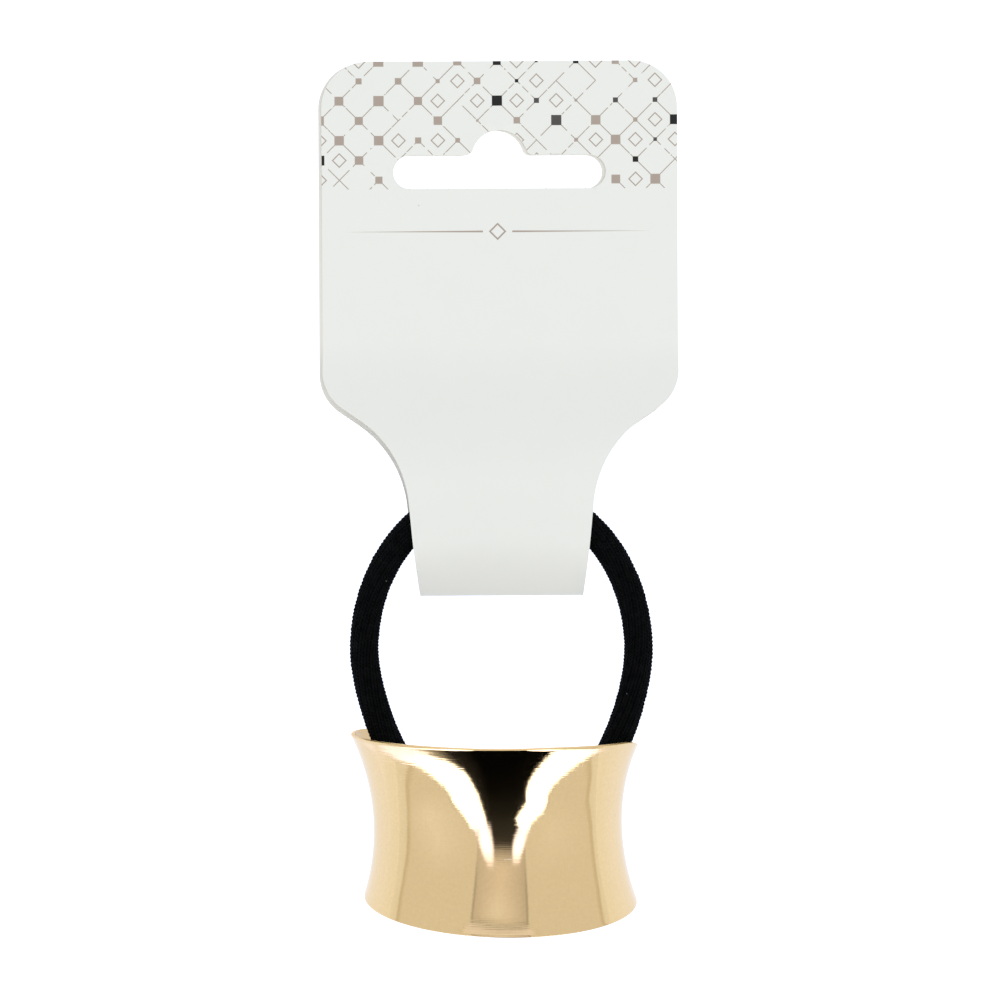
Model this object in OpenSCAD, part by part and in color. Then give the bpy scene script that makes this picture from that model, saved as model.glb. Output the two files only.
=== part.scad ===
// Elastic hair tie with a sheet-metal cuff, on its folded hanging card
// Lies on its back: X is across the card, Y runs from the cuff to the hanging slot, Z is up
// The origin is under the middle of the whole piece

/* [Card] */
// Width of each leaf
card_w = 53.5; // [50:0.1:60]
// Height of each leaf, from the fold to the top edge
card_h = 80.5; // [76:0.5:86]
// Thickness of the card stock
card_t = 0.4; // [0.3:0.05:0.6]
// Radius of the two top corners
corner_r = 7; // [3:0.5:9]
// Radius of the shoulders, where the sides turn in
shoulder_r = 7; // [3:0.5:8]
// Slope of the shoulders, from level
shoulder_angle = 34.5; // [30:0.5:50]
// Radius of the sweep from the shoulders into the neck
sweep_r = 17; // [12:0.5:18]
// Width of the neck where the sweep starts
neck_top_w = 27.2; // [26:0.1:30]
// Width of the neck at the fold
neck_fold_w = 24.6; // [20:0.1:26]
// Height of the neck's straight stretch above the fold
neck_h = 14; // [12:0.1:16]
// Sideways offset between the two leaves
leaf_offset = 0.55; // [0:0.05:1]
// How much lower the rear leaf's shoulders sit
rear_drop = 0.6; // [0:0.1:1]
// Turn of the card as it lies, counterclockwise from above
card_turn = 0.3; // [0:0.1:1]

/* [Fold] */
// Height that the front leaf is lifted by the elastic under it
leaf_lift = 4.8; // [4.5:0.1:5.5]
// Length over which the front leaf climbs from the fold
rise_l = 9.5; // [8:0.5:10]
// Length of the level crest over the elastic
crest_l = 7.4; // [6:0.2:9]
// Length over which the front leaf comes down on the rear leaf
fall_l = 21; // [16:1:24]

/* [Hanging slot] */
// Width of the slot, across its round ends
slot_w = 32; // [30:0.5:34]
// Height of the slot
slot_h = 5.1; // [4.8:0.1:6]
// Distance from the top edge of the card to the middle of the slot
slot_down = 16.6; // [14:0.1:18]
// Radius of the round bump above the slot
bump_r = 4.2; // [3:0.1:5]
// Height of the bump's centre above the middle of the slot
bump_up = 2.1; // [1:0.1:3]
// Radius of the fillets at the foot of the bump
bump_fillet = 1.2; // [0.8:0.1:1.6]

/* [Elastic] */
// Thickness of the elastic
elastic_d = 4.3; // [4:0.1:4.4]
// Width of the loop, from middle to middle of the elastic
loop_w = 41; // [38:0.2:41]
// Height of the loop, from middle to middle of the elastic
loop_h = 47.4; // [46:0.2:48]
// How far the loop reaches past the fold, behind the front leaf
loop_in = 15.9; // [15:0.1:16]

/* [Cuff] */
// Height of the cuff at its front
cuff_h = 25.8; // [22:0.2:28]
// Width of the cuff at its waist
cuff_w = 36.5; // [36.5:0.1:40]
// Depth of the cuff's front at its waist, above its widest line
cuff_depth = 15; // [14.5:0.1:17]
// Depth of the half ellipse that the two lips follow, below the widest line
lip_depth = 14; // [13:0.5:15]
// Angle from the front to the end of each lip
cuff_wrap = 115; // [110:1:120]
// How much each edge flares out from the waist, at the sides
side_flare = 2.27; // [1.5:0.05:3]
// How much each edge flares out from the waist, at the front
front_flare = 2; // [1.5:0.05:3]
// How much more the upper edge flares than the waist, and the lower edge less
top_flare = 0.52; // [0:0.02:0.6]
// Share of the height that the cuff loses from its front to its sides
side_cut = 0.083; // [0:0.005:0.12]
// How much the upper edge is cut back all round
edge_cut = 0.07; // [0:0.01:0.5]
// How much more the upper edge is cut back from its middle to the left side
left_cut = 0.25; // [0:0.01:0.6]
// How much more the upper edge is cut back at the right lip
right_cut = 1.5; // [0:0.05:2]
// How far the upper edge's narrow face follows the flare: 0 is straight up, 1 is square to the sheet
edge_lean = 0.4; // [0:0.1:1]
// Thickness of the sheet metal
sheet_t = 0.6; // [0.5:0.05:0.7]
// Radius of the corners at the ends of the lips
lip_corner = 1.6; // [1:0.1:2.5]
// Turn of the cuff as it lies, clockwise from above
cuff_turn = 1.2; // [0:0.1:2]
// Sideways lean of the upper edge, for each millimetre of height
cuff_lean = -0.059; // [-0.08:0.001:0]

/* [Holding strap] */
// Thickness of the strap that holds the elastic inside the cuff
strap_t = 0.9; // [0.7:0.05:1]
// Width of the strap
strap_w = 4.6; // [4:0.1:6]
// Height of the middle of the elastic where the strap holds it
hold_z = 15; // [13:0.5:16]

/* [Hidden] */

// Clearance between the elastic and the strap, all round
gap = 0.4;
// Arcs of the outline take this many steps
arc_steps = 10;

// The whole piece is centred on the origin
total_l = 125.3;
card_x = -0.14;
card_top = total_l/2 - (card_w/2 - corner_r)*sin(card_turn);
fold_y = card_top - card_h;
front_x = leaf_offset/2;
rear_x = -leaf_offset/2;
slot_y = card_top - slot_down;

// The loop of the elastic, in plan
elastic_r = elastic_d/2;
loop_x = 0.5;
loop_top = fold_y + loop_in;
loop_y = loop_top - loop_h/2;
// Towards the cuff the loop draws in a little, and sways to the right
loop_draw = 0.33;
loop_sway = 0.08;
draw_from = -25;
draw_l = 12;
// Between card and cuff the elastic lies on the surface
lie_z = elastic_r + 0.05;
card_z = card_t + elastic_r + 0.15;
// Angles round the loop, from its top, between which the elastic climbs to the strap
climb_from = 98;
climb_to = 172;
rings = 60;
sides = 12;

// The cuff's lips stand on the surface
cuff_x = -0.06;
cuff_y = -49.66;
waist_z = -lip_depth*cos(cuff_wrap);
cuff_cols = 48;
cuff_rows = 12;

function clamp01(s) = min(1, max(0, s));
function smooth(s) = let (c = clamp01(s)) c*c*(3 - 2*c);
function arc(cx, cy, r, a0, a1) = [
    for (i = [0:arc_steps])
        let (a = a0 + (a1 - a0)*i/arc_steps)
        [cx + r*cos(a), cy + r*sin(a)]
];
function mirrored(points) = [
    for (i = [len(points) - 1:-1:0]) [-points[i][0], points[i][1]]
];
function moved(points, dx) = [for (p = points) [p[0] + dx, p[1]]];

// Right half of a leaf above the fold, from the neck up to the top edge
function leaf_side(neck_y) =
    let (
        neck_x = neck_top_w/2,
        taper = atan2(neck_h, (neck_top_w - neck_fold_w)/2),
        sweep = arc(neck_x + sweep_r*sin(taper), neck_y - sweep_r*cos(taper), sweep_r,
            taper + 90, shoulder_angle + 90),
        from = sweep[arc_steps],
        turn_x = card_w/2 - shoulder_r,
        turn_y = from[1] + (turn_x + shoulder_r*sin(shoulder_angle) - from[0])*tan(shoulder_angle)
            + shoulder_r*cos(shoulder_angle)
    )
    concat(
        sweep,
        arc(turn_x, turn_y, shoulder_r, shoulder_angle - 90, 0),
        arc(card_w/2 - corner_r, card_top - corner_r, corner_r, 0, 90)
    );

module leaf_outline(dx, drop) {
    side = leaf_side(fold_y + neck_h - drop);
    polygon(concat(
        [[front_x + neck_fold_w/2, fold_y + card_t]],
        moved(side, dx),
        moved(mirrored(side), dx),
        [[front_x - neck_fold_w/2, fold_y + card_t]]
    ));
}

// Middle of the front leaf's thickness, over the elastic
rise_from = fold_y + card_t;
crest_end = rise_from + rise_l + crest_l;
function leaf_z(y) = 1.5*card_t + leaf_lift
    *sin(90*clamp01((y - rise_from)/rise_l))
    *(1 - smooth((y - crest_end)/fall_l));
function leaf_normal(y) =
    let (
        step = 0.05,
        slope = (leaf_z(y + step) - leaf_z(y))/step
    )
    [-slope, 1]/norm([slope, 1]);
leaf_steps = 44;
function leaf_edge(side) = [
    for (i = [0:leaf_steps])
        let (
            y = rise_from + (rise_l + crest_l + fall_l)*i/leaf_steps,
            n = leaf_normal(y)
        )
        [y + side*n[0]*card_t/2, leaf_z(y) + side*n[1]*card_t/2]
];
function reversed(points) = [for (i = [len(points) - 1:-1:0]) points[i]];

module front_leaf() {
    intersection() {
        rotate([90, 0, 90])
            linear_extrude(height = 2*card_w, center = true)
                polygon(concat(
                    leaf_edge(-1),
                    [[card_top + 1, card_t], [card_top + 1, 2*card_t]],
                    reversed(leaf_edge(1))
                ));
        translate([0, 0, -1])
            linear_extrude(height = leaf_lift + 4)
                leaf_outline(front_x, 0);
    }
}

// The card is folded flat along this round crease
module crease() {
    translate([front_x, fold_y + card_t, card_t])
        rotate([0, 90, 0])
            cylinder(h = neck_fold_w, r = card_t, center = true, $fn = 24);
}

module slot_end(side) {
    translate([side*(slot_w - slot_h)/2, 0, 0])
        cylinder(h = 4*card_t, d = slot_h, center = true, $fn = 48);
}

module slot_fillet(side) {
    foot_y = slot_h/2;
    reach = bump_r + bump_fillet;
    foot_x = sqrt(reach*reach - pow(foot_y + bump_fillet - bump_up, 2));
    translate([side*foot_x, foot_y + bump_fillet, 0])
        difference() {
            translate([-side*bump_fillet/2, -bump_fillet/2, 0])
                cube([bump_fillet, bump_fillet, 4*card_t], center = true);
            cylinder(h = 6*card_t, r = bump_fillet, center = true, $fn = 48);
        }
}

// One die cuts the slot through both leaves, and the rear one shows past its edge
module hanging_slot() {
    cube([slot_w - slot_h, slot_h, 4*card_t], center = true);
    translate([0, bump_up, 0])
        cylinder(h = 4*card_t, r = bump_r, center = true, $fn = 64);
    for (side = [-1, 1]) {
        slot_end(side);
        slot_fillet(side);
    }
}

module card() {
    color("whitesmoke")
        translate([card_x, card_top, 0])
            rotate([0, 0, card_turn])
                translate([0, -card_top, 0]) {
                    difference() {
                        linear_extrude(height = card_t)
                            leaf_outline(rear_x, rear_drop);
                        translate([rear_x, slot_y, 0])
                            hanging_slot();
                    }
                    difference() {
                        front_leaf();
                        translate([front_x, slot_y, 2*card_t])
                            hanging_slot();
                    }
                    crease();
                }
}

// Middle line of the elastic: an oval in plan that climbs to the strap in the cuff
function loop_point(a) =
    let (
        y = loop_y + loop_h/2*cos(a),
        near_cuff = smooth((draw_from - y)/draw_l),
        turn = 180 - abs(180 - a),
        on_card = smooth((y + 14)/5),
        climb = smooth((turn - climb_from)/(climb_to - climb_from))
    )
    [
        loop_x + loop_sway*near_cuff + (loop_w/2 - loop_draw*near_cuff)*sin(a),
        y,
        lie_z + (card_z - lie_z)*on_card + (hold_z - lie_z)*climb
    ];
function unit(v) = v/norm(v);
function ring(a) =
    let (
        p = loop_point(a),
        along = unit(loop_point(a + 0.5) - loop_point(a - 0.5)),
        across = unit(cross(along, [0, 0, 1])),
        up = cross(across, along)
    )
    [for (s = [0:sides - 1]) p + elastic_r*(cos(360*s/sides)*across + sin(360*s/sides)*up)];

module elastic() {
    points = [for (i = [0:rings - 1]) each ring(360*i/rings)];
    faces = [
        for (i = [0:rings - 1], s = [0:sides - 1])
            let (
                j = (i + 1)%rings,
                n = (s + 1)%sides,
                a = i*sides + s,
                b = i*sides + n,
                c = j*sides + n,
                d = j*sides + s
            )
            each [[a, b, c], [a, c, d]]
    ];
    color("#141414")
        polyhedron(points = points, faces = faces);
}

// A point of the cuff's wall: t turns from the front to the lips, v runs up its height
function corner_cut(t) =
    let (left = lip_corner - (cuff_wrap - abs(t))*PI/180*lip_depth)
    left > 0 ? lip_corner - sqrt(lip_corner*lip_corner - left*left) : 0;
function half_height(t) = cuff_h/2*(1 - side_cut*(1 - cos(t))) - corner_cut(t);
function top_cut(t) =
    edge_cut + left_cut*smooth((30 - t)/35)*smooth((t + 105)/20) + right_cut*smooth((t - 60)/50);
function wall_point(t, v, inset) =
    let (
        flare = side_flare*sin(t)*sin(t) + front_flare*cos(t)*cos(t),
        tilt = atan(edge_lean*max(0, 2*flare*v + top_flare)/half_height(t)),
        y = v*half_height(t) - pow(max(0, v), 2)*top_cut(t) + inset*sin(tilt),
        half_w = cuff_w/2 + side_flare*v*v + top_flare*v - inset*cos(tilt),
        front = cuff_depth + front_flare*v*v + top_flare*v - inset*cos(tilt),
        back = lip_depth - inset*cos(tilt)
    )
    [half_w*sin(t) + cuff_lean*y, y, cos(t)*(cos(t) > 0 ? front : back)];

module cuff_wall() {
    cols = cuff_cols + 1;
    rows = cuff_rows + 1;
    grid = cols*rows;
    points = [
        for (inset = [0, sheet_t], c = [0:cuff_cols], r = [0:cuff_rows])
            wall_point(cuff_wrap*sin(90*(2*c/cuff_cols - 1)), 2*r/cuff_rows - 1, inset)
    ];
    skin = [
        for (c = [0:cuff_cols - 1], r = [0:cuff_rows - 1])
            let (a = c*rows + r, b = a + rows)
            each [
                [a, a + 1, b], [a + 1, b + 1, b],
                [grid + a, grid + b, grid + a + 1], [grid + a + 1, grid + b, grid + b + 1]
            ]
    ];
    long_edges = [
        for (c = [0:cuff_cols - 1])
            let (a = c*rows, b = a + rows, e = a + cuff_rows, f = b + cuff_rows)
            each [
                [a, b, grid + b], [a, grid + b, grid + a],
                [e, grid + f, f], [e, grid + e, grid + f]
            ]
    ];
    lip_edges = [
        for (r = [0:cuff_rows - 1])
            let (a = r, b = cuff_cols*rows + r)
            each [
                [a, grid + a, a + 1], [a + 1, grid + a, grid + a + 1],
                [b, b + 1, grid + b], [b + 1, grid + b + 1, grid + b]
            ]
    ];
    polyhedron(points = points, faces = concat(skin, long_edges, lip_edges));
}

// A bent strap, soldered inside the front of the cuff, that the elastic runs through
module holding_strap() {
    hole_w = elastic_d + 2*gap;
    foot_z = hold_z - elastic_r - gap - strap_t;
    wall_z = waist_z + cuff_depth - sheet_t + 0.3;
    bend = 1.5;
    half_out = hole_w/2 + strap_t;
    half_in = hole_w/2;
    outer = concat(
        arc(half_out - bend - strap_t, foot_z + bend + strap_t, bend + strap_t, -90, 0),
        [[half_out, wall_z]]
    );
    inner = concat(
        arc(half_in - bend, foot_z + strap_t + bend, bend, -90, 0),
        [[half_in, wall_z]]
    );
    translate([loop_x + loop_sway, loop_top - loop_h, 0])
        rotate([90, 0, 90])
            linear_extrude(height = strap_w, center = true)
                polygon(concat(
                    outer, reversed(inner), reversed(mirrored(inner)), mirrored(outer)
                ));
}

module cuff() {
    color([0.86, 0.72, 0.53])
        union() {
            translate([cuff_x, cuff_y, waist_z])
                rotate([0, 0, -cuff_turn])
                    cuff_wall();
            holding_strap();
        }
}

card();
elastic();
cuff();
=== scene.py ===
import math

import bmesh
import bpy
from mathutils import Matrix, Vector


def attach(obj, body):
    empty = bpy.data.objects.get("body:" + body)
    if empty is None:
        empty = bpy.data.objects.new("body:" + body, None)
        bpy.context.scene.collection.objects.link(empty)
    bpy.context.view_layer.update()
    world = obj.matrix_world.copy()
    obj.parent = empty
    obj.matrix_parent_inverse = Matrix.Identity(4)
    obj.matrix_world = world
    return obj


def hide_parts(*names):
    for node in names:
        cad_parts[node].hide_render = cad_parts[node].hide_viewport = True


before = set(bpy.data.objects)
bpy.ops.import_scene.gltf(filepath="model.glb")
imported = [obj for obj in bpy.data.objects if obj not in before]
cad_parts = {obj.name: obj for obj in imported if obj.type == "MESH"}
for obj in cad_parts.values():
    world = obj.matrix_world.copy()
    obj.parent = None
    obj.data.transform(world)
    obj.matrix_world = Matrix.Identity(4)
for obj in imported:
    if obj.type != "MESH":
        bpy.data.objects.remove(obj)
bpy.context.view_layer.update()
scene = bpy.context.scene
scene.view_settings.view_transform = "Standard"


# Camera
# It looks straight down on the piece as it lies, 210 mm above the surface, with the slot at the top.
# The piece's sizes in this file are in millimetres, and MM turns them into Blender's metres.
MM = 0.001


def put(name, data):
    """Puts a new object in the scene."""
    made = bpy.data.objects.new(name, data)
    scene.collection.objects.link(made)
    return made


camera_lens = bpy.data.cameras.new("camera")
camera_lens.lens = 50
camera_lens.sensor_width = 36
camera = put("camera", camera_lens)
camera.location = (0.30 * MM, -3.47 * MM, 209.8 * MM)
scene.camera = camera


# Elastic
# A closed loop of rubber threads in a knitted black cover, 4.3 mm thick and 145 mm round.
# It goes round behind the card's neck, lies on the surface, and climbs to the strap in the cuff.
loop_x, loop_y = 0.5, -25.754
loop_w, loop_h = 41.0, 47.4
loop_draw, loop_sway = 0.33, 0.08
lie_z, on_card_z, strap_z = 2.2, 2.7, 15.0
draw_from, draw_l = -25, 12
on_card_from, on_card_l = -14, 5
climb_from, climb_l = 98, 74
path_steps = 720
courses, wales = 263, 14
cover_r, yarn_r = 1.96, 0.22
stitch_l, stitch_w = 0.58, 0.84


def smooth(share):
    """A step from 0 to 1 that starts and ends gently."""
    s = min(1.0, max(0.0, share))
    return s * s * (3 - 2 * s)


def loop_point(angle):
    """The middle of the elastic, in metres, at an angle in degrees round from the loop's top."""
    turn = math.radians(angle)
    y = loop_y + loop_h / 2 * math.cos(turn)
    near_cuff = smooth((draw_from - y) / draw_l)
    on_card = smooth((y - on_card_from) / on_card_l)
    climb = smooth((180 - abs(180 - angle) - climb_from) / climb_l)
    x = loop_x + loop_sway * near_cuff + (loop_w / 2 - loop_draw * near_cuff) * math.sin(turn)
    z = lie_z + (on_card_z - lie_z) * on_card + (strap_z - lie_z) * climb
    return Vector((x, y, z)) * MM


def new_tree(name, kind, inputs, outputs):
    """A node tree with named sockets: (name, type, value) for each input, (name, type) for each output."""
    tree = bpy.data.node_groups.new(name, kind)
    for label, socket_type, value in inputs:
        socket = tree.interface.new_socket(label, in_out="INPUT", socket_type=socket_type)
        if value is not None:
            socket.default_value = value
    for label, socket_type in outputs:
        tree.interface.new_socket(label, in_out="OUTPUT", socket_type=socket_type)
    return tree


def feed(tree, socket, value):
    """Gives a socket its value, or links it to the socket that feeds it."""
    if isinstance(value, bpy.types.NodeSocket):
        tree.links.new(value, socket)
    else:
        socket.default_value = value


def add(tree, kind, inputs=None, **settings):
    """Adds a node. Its inputs go by name or identifier, each a value or the socket that feeds it."""
    node = tree.nodes.new(kind)
    for name, value in settings.items():
        setattr(node, name, value)
    for name, value in (inputs or {}).items():
        feed(tree, next(s for s in node.inputs if name in (s.identifier, s.name) and s.enabled), value)
    return node


def calc(tree, operation, *values):
    """A Math node's result."""
    node = add(tree, "ShaderNodeMath", operation=operation)
    for socket, value in zip(node.inputs, values):
        feed(tree, socket, value)
    return node.outputs[0]


# The cover is rings of stitches along the path, each facing outwards, over a smooth core
knit = new_tree(
    "knitted_cover",
    "GeometryNodeTree",
    [
        ("Path", "NodeSocketGeometry", None),
        ("Courses", "NodeSocketInt", courses),
        ("Wales", "NodeSocketInt", wales),
        ("Cover Radius", "NodeSocketFloat", cover_r * MM),
        ("Yarn Radius", "NodeSocketFloat", yarn_r * MM),
        ("Stitch Length", "NodeSocketFloat", stitch_l * MM),
        ("Stitch Width", "NodeSocketFloat", stitch_w * MM),
        ("Spiral Turns", "NodeSocketFloat", 1.0),
        ("Seed", "NodeSocketInt", 7),
        ("Material", "NodeSocketMaterial", None),
    ],
    [("Cover", "NodeSocketGeometry")],
)
given = add(knit, "NodeGroupInput").outputs


def circle(sides, radius):
    """A round profile with so many sides."""
    return add(knit, "GeometryNodeCurvePrimitiveCircle", {"Resolution": sides, "Radius": radius}).outputs[0]


line = add(knit, "GeometryNodeMeshToCurve", {"Mesh": given["Path"]}).outputs[0]
line = add(knit, "GeometryNodeResampleCurve", {"Curve": line, "Count": given["Courses"]}).outputs[0]
line = add(knit, "GeometryNodeSetCurveNormal", {"Curve": line}, mode="Z_UP").outputs[0]
along_share = add(knit, "GeometryNodeSplineParameter").outputs["Factor"]
spiral = calc(knit, "MULTIPLY", calc(knit, "MULTIPLY", along_share, math.tau), given["Spiral Turns"])
line = add(knit, "GeometryNodeSetCurveTilt", {"Curve": line, "Tilt": spiral}).outputs[0]
kept = add(knit, "GeometryNodeCaptureAttribute")
kept.capture_items.new("VECTOR", "Along")
kept.capture_items.new("VECTOR", "Middle")
knit.links.new(line, kept.inputs["Geometry"])
knit.links.new(add(knit, "GeometryNodeInputTangent").outputs[0], kept.inputs["Along"])
knit.links.new(add(knit, "GeometryNodeInputPosition").outputs[0], kept.inputs["Middle"])
ring = circle(given["Wales"], given["Cover Radius"])
places = add(
    knit, "GeometryNodeCurveToMesh", {"Curve": kept.outputs["Geometry"], "Profile Curve": ring}
).outputs[0]
place_on_ring = add(knit, "GeometryNodeInputPosition").outputs[0]
from_middle = {"Vector": place_on_ring, "Vector_001": kept.outputs["Middle"]}
outward = add(knit, "ShaderNodeVectorMath", from_middle, operation="SUBTRACT").outputs[0]
facing = add(
    knit, "FunctionNodeAxesToRotation", {"Primary Axis": kept.outputs["Along"], "Secondary Axis": outward}
).outputs[0]

# A stitch is two legs of yarn. Each leg bends through three places: how far outwards, in millimetres, and
# how far across and along, as shares of the stitch's width and length
leg_bends = ((-0.05, 0.12, -0.54), (0.14, 0.34, 0.02), (-0.06, 0.40, 0.54))
leg_swell, leg_tip = 0.25, 0.75
yarn_sides, leg_cuts, core_sides = 4, 3, 20
most_skew = 0.1
tightest, slackest = 0.88, 1.1
legs = add(knit, "GeometryNodeJoinGeometry")
yarn_ring = circle(yarn_sides, given["Yarn Radius"])
middle_share = calc(knit, "SINE", calc(knit, "MULTIPLY", along_share, math.pi))
swell = calc(knit, "MULTIPLY_ADD", middle_share, leg_swell, leg_tip)
for side in (-1, 1):
    points = []
    for out, across, up in leg_bends:
        y = calc(knit, "MULTIPLY", given["Stitch Width"], side * across)
        z = calc(knit, "MULTIPLY", given["Stitch Length"], up)
        points.append(add(knit, "ShaderNodeCombineXYZ", {"X": out * MM, "Y": y, "Z": z}).outputs[0])
    bend = {"Resolution": 4, "Start": points[0], "Middle": points[1], "End": points[2]}
    leg = add(knit, "GeometryNodeCurveQuadraticBezier", bend).outputs[0]
    leg = add(knit, "GeometryNodeResampleCurve", {"Curve": leg, "Count": leg_cuts}).outputs[0]
    yarn = {"Curve": leg, "Profile Curve": yarn_ring, "Scale": swell, "Fill Caps": True}
    leg = add(knit, "GeometryNodeCurveToMesh", yarn).outputs[0]
    knit.links.new(leg, legs.inputs[0])

skews = {"Min": (-most_skew,) * 3, "Max": (most_skew,) * 3, "Seed": given["Seed"]}
loose = add(knit, "FunctionNodeRandomValue", skews, data_type="FLOAT_VECTOR").outputs[0]
loose = add(knit, "FunctionNodeEulerToRotation", {"Euler": loose}).outputs[0]
skewed = {"Rotation": facing, "Rotate By": loose}
facing = add(knit, "FunctionNodeRotateRotation", skewed, rotation_space="LOCAL").outputs[0]
scales = {"Min": tightest, "Max": slackest, "Seed": given["Seed"]}
tightness = add(knit, "FunctionNodeRandomValue", scales, data_type="FLOAT").outputs[1]
stitches = add(
    knit,
    "GeometryNodeInstanceOnPoints",
    {"Points": places, "Instance": legs.outputs[0], "Rotation": facing, "Scale": tightness},
).outputs[0]
core_ring = circle(core_sides, given["Cover Radius"])
core = add(
    knit, "GeometryNodeCurveToMesh", {"Curve": kept.outputs["Geometry"], "Profile Curve": core_ring}
).outputs[0]
whole = add(knit, "GeometryNodeJoinGeometry")
knit.links.new(core, whole.inputs[0])
knit.links.new(stitches, whole.inputs[0])
cover = add(knit, "GeometryNodeRealizeInstances", {"Geometry": whole.outputs[0]}).outputs[0]
cover = add(knit, "GeometryNodeSetShadeSmooth", {"Geometry": cover}).outputs[0]
cover = add(knit, "GeometryNodeSetMaterial", {"Geometry": cover, "Material": given["Material"]}).outputs[0]
add(knit, "NodeGroupOutput", {"Cover": cover})


# Two effects that the piece's own materials share: specks in some cells of a pattern, and soft patches
specks = new_tree(
    "specks",
    "ShaderNodeTree",
    [
        ("Vector", "NodeSocketVector", None),
        ("Per Metre", "NodeSocketFloat", 300.0),
        ("Size", "NodeSocketFloat", 0.1),
        ("Share", "NodeSocketFloat", 0.1),
    ],
    [("Mask", "NodeSocketFloat")],
)
given = add(specks, "NodeGroupInput").outputs
cells = add(
    specks, "ShaderNodeTexVoronoi", {"Vector": given["Vector"], "Scale": given["Per Metre"]}, feature="F1"
)
lot = add(specks, "ShaderNodeSeparateColor", {"Color": cells.outputs["Color"]}).outputs["Red"]
near = calc(specks, "LESS_THAN", cells.outputs["Distance"], given["Size"])
chosen = calc(specks, "LESS_THAN", lot, given["Share"])
add(specks, "NodeGroupOutput", {"Mask": calc(specks, "MULTIPLY", near, chosen)})

patches = new_tree(
    "patches",
    "ShaderNodeTree",
    [
        ("Vector", "NodeSocketVector", None),
        ("Per Metre", "NodeSocketFloat", 60.0),
        ("Low", "NodeSocketFloat", 0.0),
        ("High", "NodeSocketFloat", 1.0),
    ],
    [("Value", "NodeSocketFloat")],
)
given = add(patches, "NodeGroupInput").outputs
cloud = add(
    patches,
    "ShaderNodeTexNoise",
    {"Vector": given["Vector"], "Scale": given["Per Metre"], "Detail": 4.0, "Roughness": 0.6},
).outputs[0]
ranged = add(
    patches,
    "ShaderNodeMapRange",
    {"Value": cloud, "From Min": 0.3, "From Max": 0.7, "To Min": given["Low"], "To Max": given["High"]},
)
add(patches, "NodeGroupOutput", {"Value": ranged.outputs[0]})


def new_material(name):
    """A new material with its node tree, its Principled BSDF and its Object coordinates."""
    material = bpy.data.materials.new(name)
    material.use_nodes = True
    tree = material.node_tree
    where = add(tree, "ShaderNodeTexCoord").outputs["Object"]
    return material, tree, tree.nodes["Principled BSDF"], where


def place(tree, group, inputs):
    """Places a shared node group in a material and gives its first output."""
    node = tree.nodes.new("ShaderNodeGroup")
    node.node_tree = group
    for name, value in inputs.items():
        feed(tree, node.inputs[name], value)
    return node.outputs[0]


def mix_colour(tree, share, first, second):
    """The first colour where the share is 0, and the second where it is 1."""
    values = {"Factor_Float": share, "A_Color": first, "B_Color": second}
    return add(tree, "ShaderNodeMix", values, data_type="RGBA").outputs[2]


def dimmed(tree, colour, share):
    """A colour times a share."""
    return add(tree, "ShaderNodeVectorMath", {"Vector": colour, "Scale": share}, operation="SCALE").outputs[0]


darkest_yarn, palest_yarn = (0.0008, 0.0011, 0.0013, 1), (0.0044, 0.0048, 0.0054, 1)
lint_grey = (0.12, 0.12, 0.13, 1)
black_yarn, tree, skin, where = new_material("black_yarn")
tone = place(tree, patches, {"Vector": where, "Per Metre": 900.0})
lint = place(tree, specks, {"Vector": where, "Per Metre": 420.0, "Size": 0.05, "Share": 0.08})
yarn_colour = mix_colour(tree, tone, darkest_yarn, palest_yarn)
tree.links.new(mix_colour(tree, lint, yarn_colour, lint_grey), skin.inputs["Base Color"])
tree.links.new(
    place(tree, patches, {"Vector": where, "Per Metre": 500.0, "Low": 0.72, "High": 0.95}),
    skin.inputs["Roughness"],
)
skin.inputs["Specular IOR Level"].default_value = 0.05
fibre = add(tree, "ShaderNodeTexNoise", {"Vector": where, "Scale": 6000.0, "Detail": 3.0}).outputs[0]
fuzz = add(tree, "ShaderNodeBump", {"Height": fibre, "Strength": 0.6, "Distance": 0.04 * MM})
tree.links.new(fuzz.outputs[0], skin.inputs["Normal"])

loop_points = [loop_point(360 * i / path_steps) for i in range(path_steps)]
path_mesh = bpy.data.meshes.new("elastic_path")
path_mesh.from_pydata(loop_points, [(i, (i + 1) % path_steps) for i in range(path_steps)], [])
path = put("elastic_path", path_mesh)


def grown(carrier, tree, values, name):
    """Runs a geometry node tree on a carrier object and keeps the result as one plain mesh object."""
    modifier = carrier.modifiers.new(tree.name, "NODES")
    modifier.node_group = tree
    sockets = {s.name: s.identifier for s in tree.interface.items_tree if s.in_out == "INPUT"}
    for label, value in values.items():
        modifier[sockets[label]] = value
    evaluated = carrier.evaluated_get(bpy.context.evaluated_depsgraph_get())
    mesh = bpy.data.meshes.new_from_object(evaluated)
    mesh.name = name
    carrier.modifiers.remove(modifier)
    bpy.data.objects.remove(carrier)
    return put(name, mesh)


elastic = grown(path, knit, {"Material": black_yarn}, "knitted_elastic")
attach(elastic, "root")
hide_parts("elastic")


# Card
# One die-cut piece of coated white board, 0.38 mm thick, with a hanging slot in each leaf.
# It is folded across its narrow neck over the elastic, whose thickness lifts the front leaf near the fold.
card_w, card_h = 53.5, 80.5
corner_r, shoulder_r, shoulder_angle = 7.0, 7.0, 34.5
sweep_r, neck_top_w, neck_fold_w, neck_h = 17.0, 27.2, 24.6, 14.0
front_x, rear_x, rear_drop = 0.275, -0.275, 0.6
card_x, card_turn = -0.14, 0.3
total_l = 125.3
card_top = total_l / 2 - (card_w / 2 - corner_r) * math.sin(math.radians(card_turn))
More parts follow.
